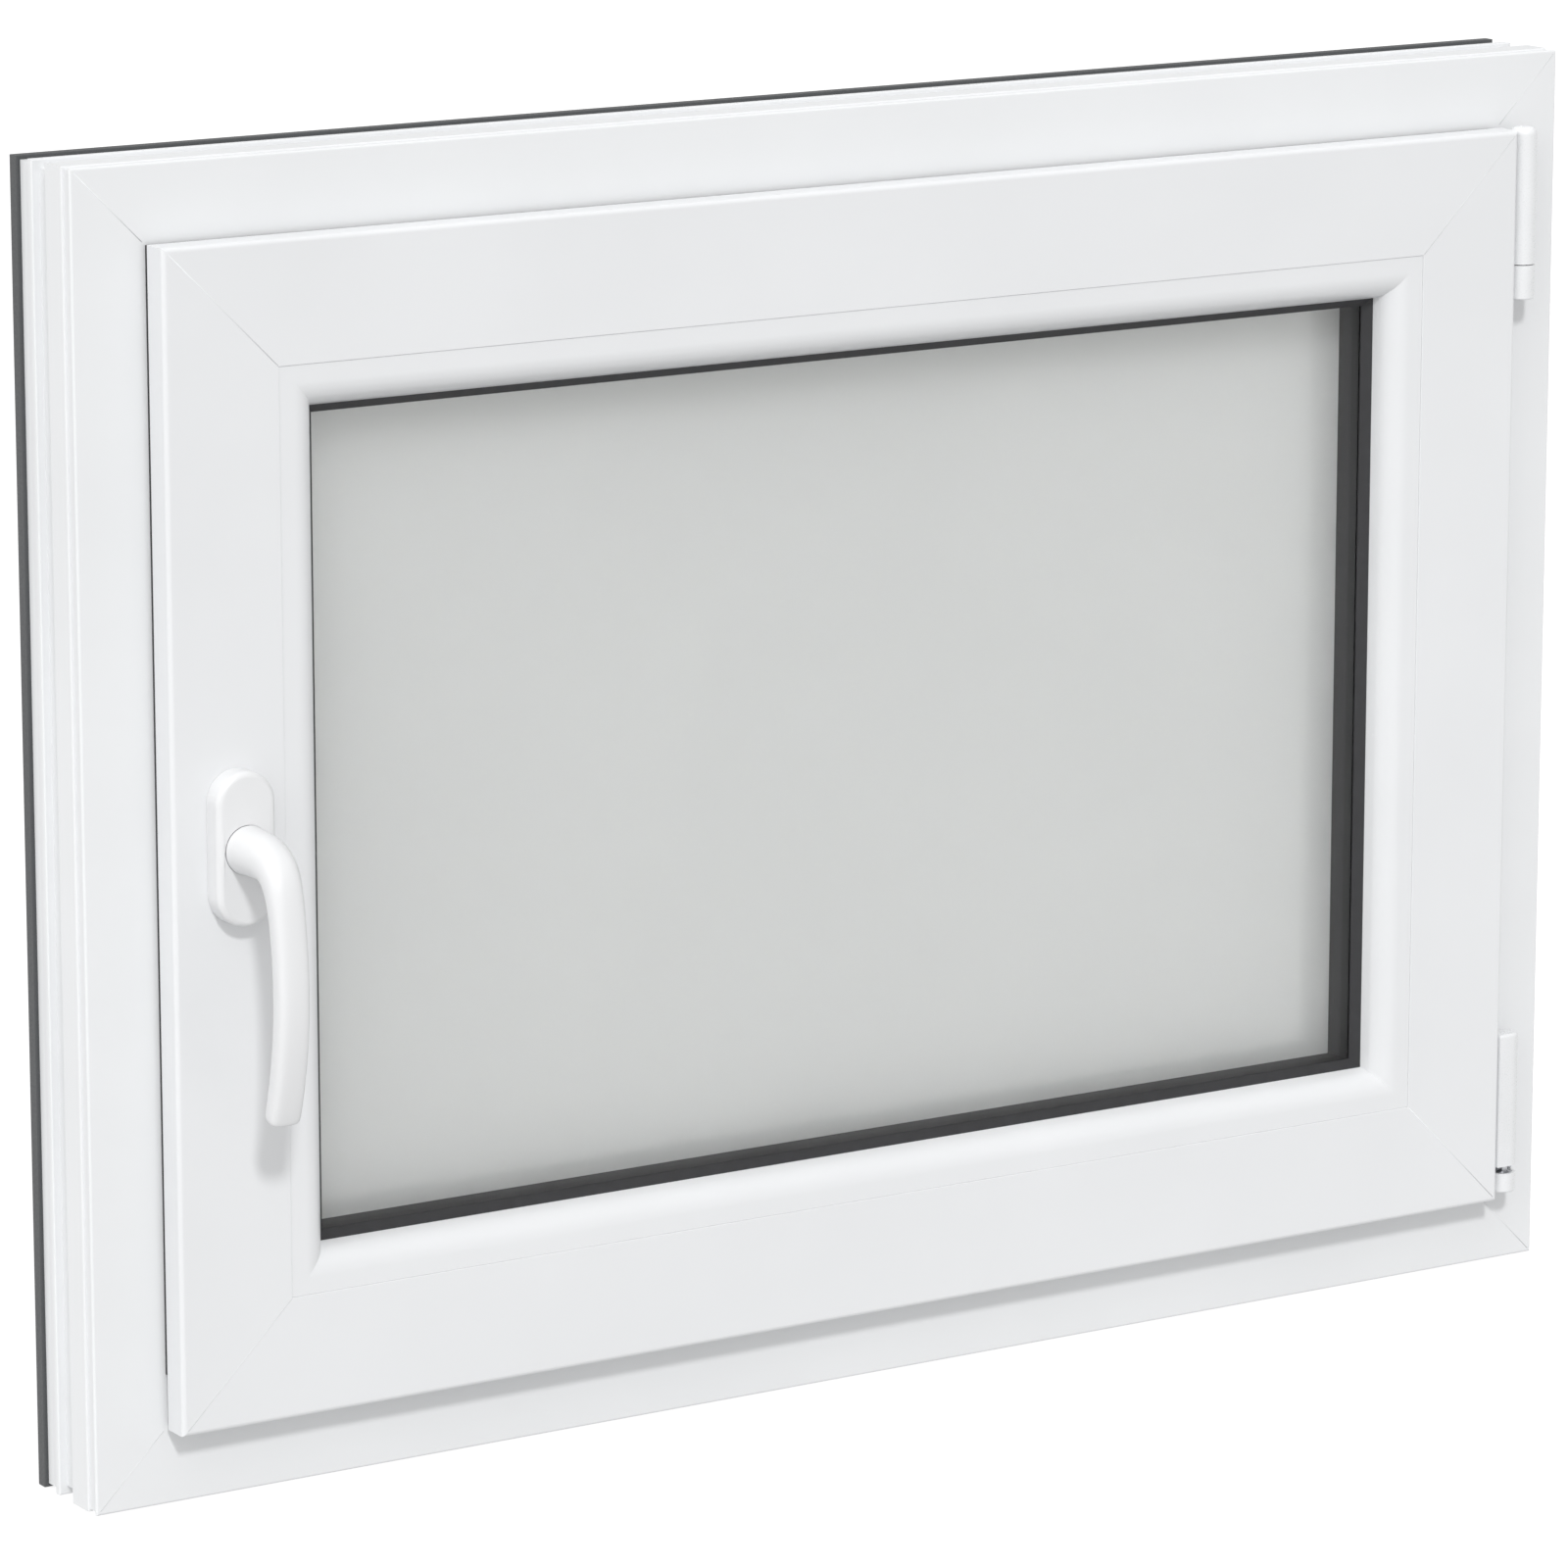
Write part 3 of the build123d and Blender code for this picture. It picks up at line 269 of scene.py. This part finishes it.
ZINC_TONE = (0.62, 0.63, 0.65)
ZINC = plated_steel("zinc_plate", ZINC_TONE, 0.34)
ZINC_ACROSS = plated_steel("zinc_plate_across", ZINC_TONE, 0.34, along="X")
DIE_CAST = plated_steel("zinc_die_cast", (0.46, 0.47, 0.49), 0.46)
GALVANISED = plated_steel("galvanised_tube", (0.55, 0.56, 0.57), 0.42, spangle=45.0)
PACKER_BLUE = moulded_plastic("packer_plastic", (0.09, 0.19, 0.40), 0.45)
CAP_GREY = moulded_plastic("cap_plastic", (0.055, 0.056, 0.06), 0.5, grain_mm=0.03)
BASE_GREY = moulded_plastic("base_plastic", (0.33, 0.34, 0.35), 0.5)
HANDLE_PAINT = gloss_paint("handle_paint", (0.765, 0.77, 0.778))

RUNS_ACROSS = ("sill", "head", "rail", "bead_top", "bead_bottom")
DIE_CASTINGS = ("gearbox_case", "cam_keeps", "corner_drives")
FINISHES = {
    "outdoor_cladding": CLADDING,
    "gasket_rubber": RUBBER,
    "edge_seal": EDGE_BLACK,
    "galvanised_steel": GALVANISED,
    "packer_plastic": PACKER_BLUE,
    "handle_paint": HANDLE_PAINT,
    "base_plastic": BASE_GREY,
    "hinge_cover_plastic": COVER_WHITE,
    "dark_plastic": CAP_GREY,
}


def material_for(name, slot):
    """The material of one CAD node, from its finish in the record and the way it runs."""
    axis = "X" if any(word in name for word in RUNS_ACROSS) else "Z"
    if slot in ("sash_plastic", "bead_plastic"):
        return PLASTIC[axis]
    if slot == "frame_plastic":
        return FRAME_PLASTIC[axis]
    if slot == "pane_glass":
        return CLEAR_PANE if name == "glass_pane_inner" else MILKY_PANE
    if slot == "zinc_steel" and name in DIE_CASTINGS:
        return DIE_CAST
    if slot == "zinc_steel":
        return ZINC_ACROSS if name.startswith("stay") else ZINC
    return FINISHES[slot]


# ---- edges of the CAD pieces ----
EDGE_ANGLE = math.radians(32)
CORNER_GAP = 0.01 * MM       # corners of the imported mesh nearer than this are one
SOFT_EDGES_MM = {
    "frame_plastic": 0.45,
    "sash_plastic": 0.45,
    "bead_plastic": 0.35,
    "outdoor_cladding": 0.4,
    "hinge_cover_plastic": 0.25,
    "handle_paint": 0.3,
    "gasket_rubber": 0.2,
}
HARD_EDGE_MM = 0.15


def soften_edges(piece, width_mm):
    """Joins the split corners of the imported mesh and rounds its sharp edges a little."""
    weld = piece.modifiers.new("join_corners", "WELD")
    weld.merge_threshold = CORNER_GAP
    edge = piece.modifiers.new("soft_edges", "BEVEL")
    edge.width = width_mm * MM
    edge.segments = 2
    edge.limit_method = "ANGLE"
    edge.angle_limit = EDGE_ANGLE
    edge.use_clamp_overlap = True
    flat = piece.modifiers.new("flat_faces", "WEIGHTED_NORMAL")
    flat.weight = 100
    flat.keep_sharp = True
    for face in piece.data.polygons:
        face.use_smooth = True


def dress_cad_nodes():
    """Gives every CAD node its material and, but for the glass, its soft edges."""
    slots = {entry["node"]: entry["material_slot"] for entry in frame["record"]["subparts"]}
    for name, piece in NODES.items():
        material = material_for(name, slots[name])
        piece.data.materials.clear()
        piece.data.materials.append(material)
        if not name.startswith("glass_pane"):
            soften_edges(piece, SOFT_EDGES_MM.get(slots[name], HARD_EDGE_MM))


# ---- pieces made here ----
ROOMWARD = Vector((0, -1, 0))


def mesh_piece(name, vertices, faces, material):
    """A smooth-shaded object with its faces turned outwards."""
    mesh = bpy.data.meshes.new(name)
    mesh.from_pydata(vertices, [], faces)
    mesh.materials.append(material)
    piece = bpy.data.objects.new(name, mesh)
    bpy.context.scene.collection.objects.link(piece)
    tidy = bmesh.new()
    tidy.from_mesh(mesh)
    bmesh.ops.recalc_face_normals(tidy, faces=tidy.faces)
    tidy.to_mesh(mesh)
    tidy.free()
    for face in mesh.polygons:
        face.use_smooth = True
    return piece


def rounded_ring(centre, side, up, half_width, half_thick, squareness=2.0, count=16):
    """Points of a rounded cross-section: squareness 2 is an ellipse, more is nearer a rectangle."""
    power = 2 / squareness
    points = []
    for step in range(count):
        turn = 2 * math.pi * (step + 0.5) / count
        c, s = math.cos(turn), math.sin(turn)
        across = half_width * math.copysign(abs(c) ** power, c)
        out = half_thick * math.copysign(abs(s) ** power, s)
        points.append(centre + side * across + up * out)
    return points


def skin(rings):
    """Vertices and faces of a closed skin: quads between successive rings, and a flat cap at each end."""
    count = len(rings[0])
    vertices = [tuple(point) for loop in rings for point in loop]
    faces = []
    for level in range(len(rings) - 1):
        for step in range(count):
            following = (step + 1) % count
            low, high = level * count, (level + 1) * count
            faces.append((low + step, low + following, high + following, high + step))
    faces.append(tuple(range(count)))
    last = (len(rings) - 1) * count
    faces.append(tuple(last + step for step in range(count)))
    return vertices, faces


# ---- the lever, as one smooth casting ----
# Distance out from the rosette's front, height from the pivot, half width, half thickness, squareness.
LEVER_STATIONS = [
    (-5, 0, 10.6, 10.6, 2.0),
    (-0.6, 0, 10.6, 10.6, 2.0),
    (0.35, 0, 11.5, 11.5, 2.0),
    (1.2, 0, 11.3, 11.3, 2.0),
    (3, 0, 10.9, 10.9, 2.0),
    (9, 0, 10.7, 10.9, 2.0),
    (17, -0.2, 10.2, 10.4, 2.1),
    (24, -2.0, 9.4, 9.4, 2.3),
    (29.6, -7, 8.7, 8.2, 2.6),
    (33.0, -15, 8.1, 7.0, 2.9),
    (35.2, -26, 7.8, 6.2, 3.2),
    (37.1, -41, 7.7, 5.9, 3.4),
    (37.9, -58, 7.6, 5.8, 3.5),
    (36.9, -76, 7.6, 5.7, 3.6),
    (34.0, -93, 7.6, 5.6, 3.6),
    (30.1, -108, 7.6, 5.6, 3.6),
    (28.0, -114.5, 7.55, 5.4, 3.6),
    (27.4, -116.3, 7.0, 4.9, 3.4),
]
LEVER_SUBDIVISIONS = 2


def make_lever():
    """Neck out of the rosette, a smooth elbow, and an arched grip that ends in a squarish tip."""
    rosette_low, rosette_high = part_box("handle_rosette")
    pivot = (rosette_low + rosette_high) / 2
    side = Vector((1, 0, 0))
    spine = [
        Vector((pivot.x, rosette_low.y - out * MM, pivot.z + rise * MM)) for out, rise, *_ in LEVER_STATIONS
    ]
    rings = []
    for index, (_, _, half_width, half_thick, squareness) in enumerate(LEVER_STATIONS):
        before = spine[max(index - 1, 0)]
        after = spine[min(index + 1, len(spine) - 1)]
        along = (after - before).normalized()
        up = along.cross(side)
        rings.append(rounded_ring(spine[index], side, up, half_width * MM, half_thick * MM, squareness))
    lever = mesh_piece("lever_casting", *skin(rings), HANDLE_PAINT)
    smooth = lever.modifiers.new("smooth", "SUBSURF")
    smooth.levels = LEVER_SUBDIVISIONS
    smooth.render_levels = LEVER_SUBDIVISIONS
    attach(lever, "handle")
    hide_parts("handle_lever")
    return lever


# ---- weld seams at the mitred corners ----
SEAM_HALF_WIDTH = 0.22 * MM
SEAM_PROUD = 0.06 * MM
FRAME_SEAM_INSETS = (2.0, 34.0)      # from the window's outer edges, to just short of the sash's lip
SASH_SEAM_INSETS = (37.5, 90.2)      # from the sash's rounded edge to the glazing beads


def make_weld_seams(body, rail, material, insets):
    """The fine line left by the welding, across the room face at each of the four corners."""
    sill_low, sill_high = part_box("frame_sill")
    head_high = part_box("frame_head")[1]
    face_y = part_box(rail)[0].y
    vertices, faces = [], []
    for edge_x, inward_x in ((sill_low.x, 1), (sill_high.x, -1)):
        for edge_z, inward_z in ((sill_low.z, 1), (head_high.z, -1)):
            side = Vector((inward_x, 0, inward_z)).normalized().cross(ROOMWARD)
            rings = []
            for inset in insets:
                step = inset * MM
                centre = Vector((edge_x + inward_x * step, face_y, edge_z + inward_z * step))
                rings.append(rounded_ring(centre, side, ROOMWARD, SEAM_HALF_WIDTH, SEAM_PROUD, count=8))
            seam_vertices, seam_faces = skin(rings)
            faces += [tuple(len(vertices) + index for index in face) for face in seam_faces]
            vertices += seam_vertices
    seams = mesh_piece(f"{body}_weld_seams", vertices, faces, material)
    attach(seams, body)


# ---- stage, light and camera ----
def make_stage():
    """A pale floor that glows enough to melt into the white background."""
    bpy.ops.mesh.primitive_plane_add(size=FLOOR_SIZE, location=(0, 0, CAD_LOW.z - FLOOR_DROP))
    floor = bpy.context.object
    floor.name = "floor"
    material, tree, shader = new_material("pale_floor")
    colour(tree, shader, noise(tree, object_space(tree), 0.8), *FLOOR_GREYS)
    shader.inputs["Roughness"].default_value = 0.9
    shader.inputs["Specular IOR Level"].default_value = 0.0
    shader.inputs["Emission Color"].default_value = (1, 1, 1, 1)
    shader.inputs["Emission Strength"].default_value = FLOOR_GLOW
    floor.data.materials.append(material)
    floor.visible_diffuse = False


def make_world():
    """Soft room light for the object, and plain white where the camera looks past everything."""
    world = bpy.data.worlds.new("studio")
    world.use_nodes = True
    tree = world.node_tree
    tree.nodes.clear()
    room = node(tree, "ShaderNodeBackground", Color=(1, 1, 1, 1), Strength=ROOM_LIGHT)
    plain = node(tree, "ShaderNodeBackground", Color=(1, 1, 1, 1), Strength=BACKGROUND_LIGHT)
    path = tree.nodes.new("ShaderNodeLightPath")
    mix = tree.nodes.new("ShaderNodeMixShader")
    output = tree.nodes.new("ShaderNodeOutputWorld")
    tree.links.new(path.outputs["Is Camera Ray"], mix.inputs["Fac"])
    tree.links.new(room.outputs[0], mix.inputs[1])
    tree.links.new(plain.outputs[0], mix.inputs[2])
    tree.links.new(mix.outputs[0], output.inputs["Surface"])
    bpy.context.scene.world = world


def make_sun(name, travel, strength, spread):
    """A distant light that shines along travel, with soft shadows as wide as its spread."""
    light = bpy.data.lights.new(name, "SUN")
    light.energy = strength
    light.angle = math.radians(spread)
    lamp = bpy.data.objects.new(name, light)
    lamp.rotation_mode = "QUATERNION"
    lamp.rotation_quaternion = travel.normalized().to_track_quat("-Z", "Y")
    bpy.context.scene.collection.objects.link(lamp)


def make_camera():
    """The camera at its place, looking along its azimuth and down by its drop."""
    camera = bpy.data.cameras.new("camera")
    camera.lens = CAMERA_LENS
    camera.sensor_width = SENSOR_WIDTH
    camera.clip_end = CAMERA_REACH
    holder = bpy.data.objects.new("camera", camera)
    bpy.context.scene.collection.objects.link(holder)
    level = math.cos(CAMERA_DROP)
    aside, forward = math.sin(CAMERA_AZIMUTH) * level, math.cos(CAMERA_AZIMUTH) * level
    ahead = Vector((aside, forward, -math.sin(CAMERA_DROP)))
    holder.location = CAMERA_PLACE
    holder.rotation_mode = "QUATERNION"
    holder.rotation_quaternion = ahead.to_track_quat("-Z", "Y")
    bpy.context.scene.camera = holder


dress_cad_nodes()
make_lever()
make_weld_seams("frame", "frame_sill", FRAME_PLASTIC["X"], FRAME_SEAM_INSETS)
make_weld_seams("sash", "sash_bottom_rail", PLASTIC["X"], SASH_SEAM_INSETS)
make_stage()
make_world()
for light_name, (travel, strength, spread) in STUDIO_LIGHTS.items():
    make_sun(light_name, travel, strength, spread)
make_camera()
bpy.context.scene.view_settings.view_transform = "Standard"
bpy.context.scene.view_settings.look = "None"
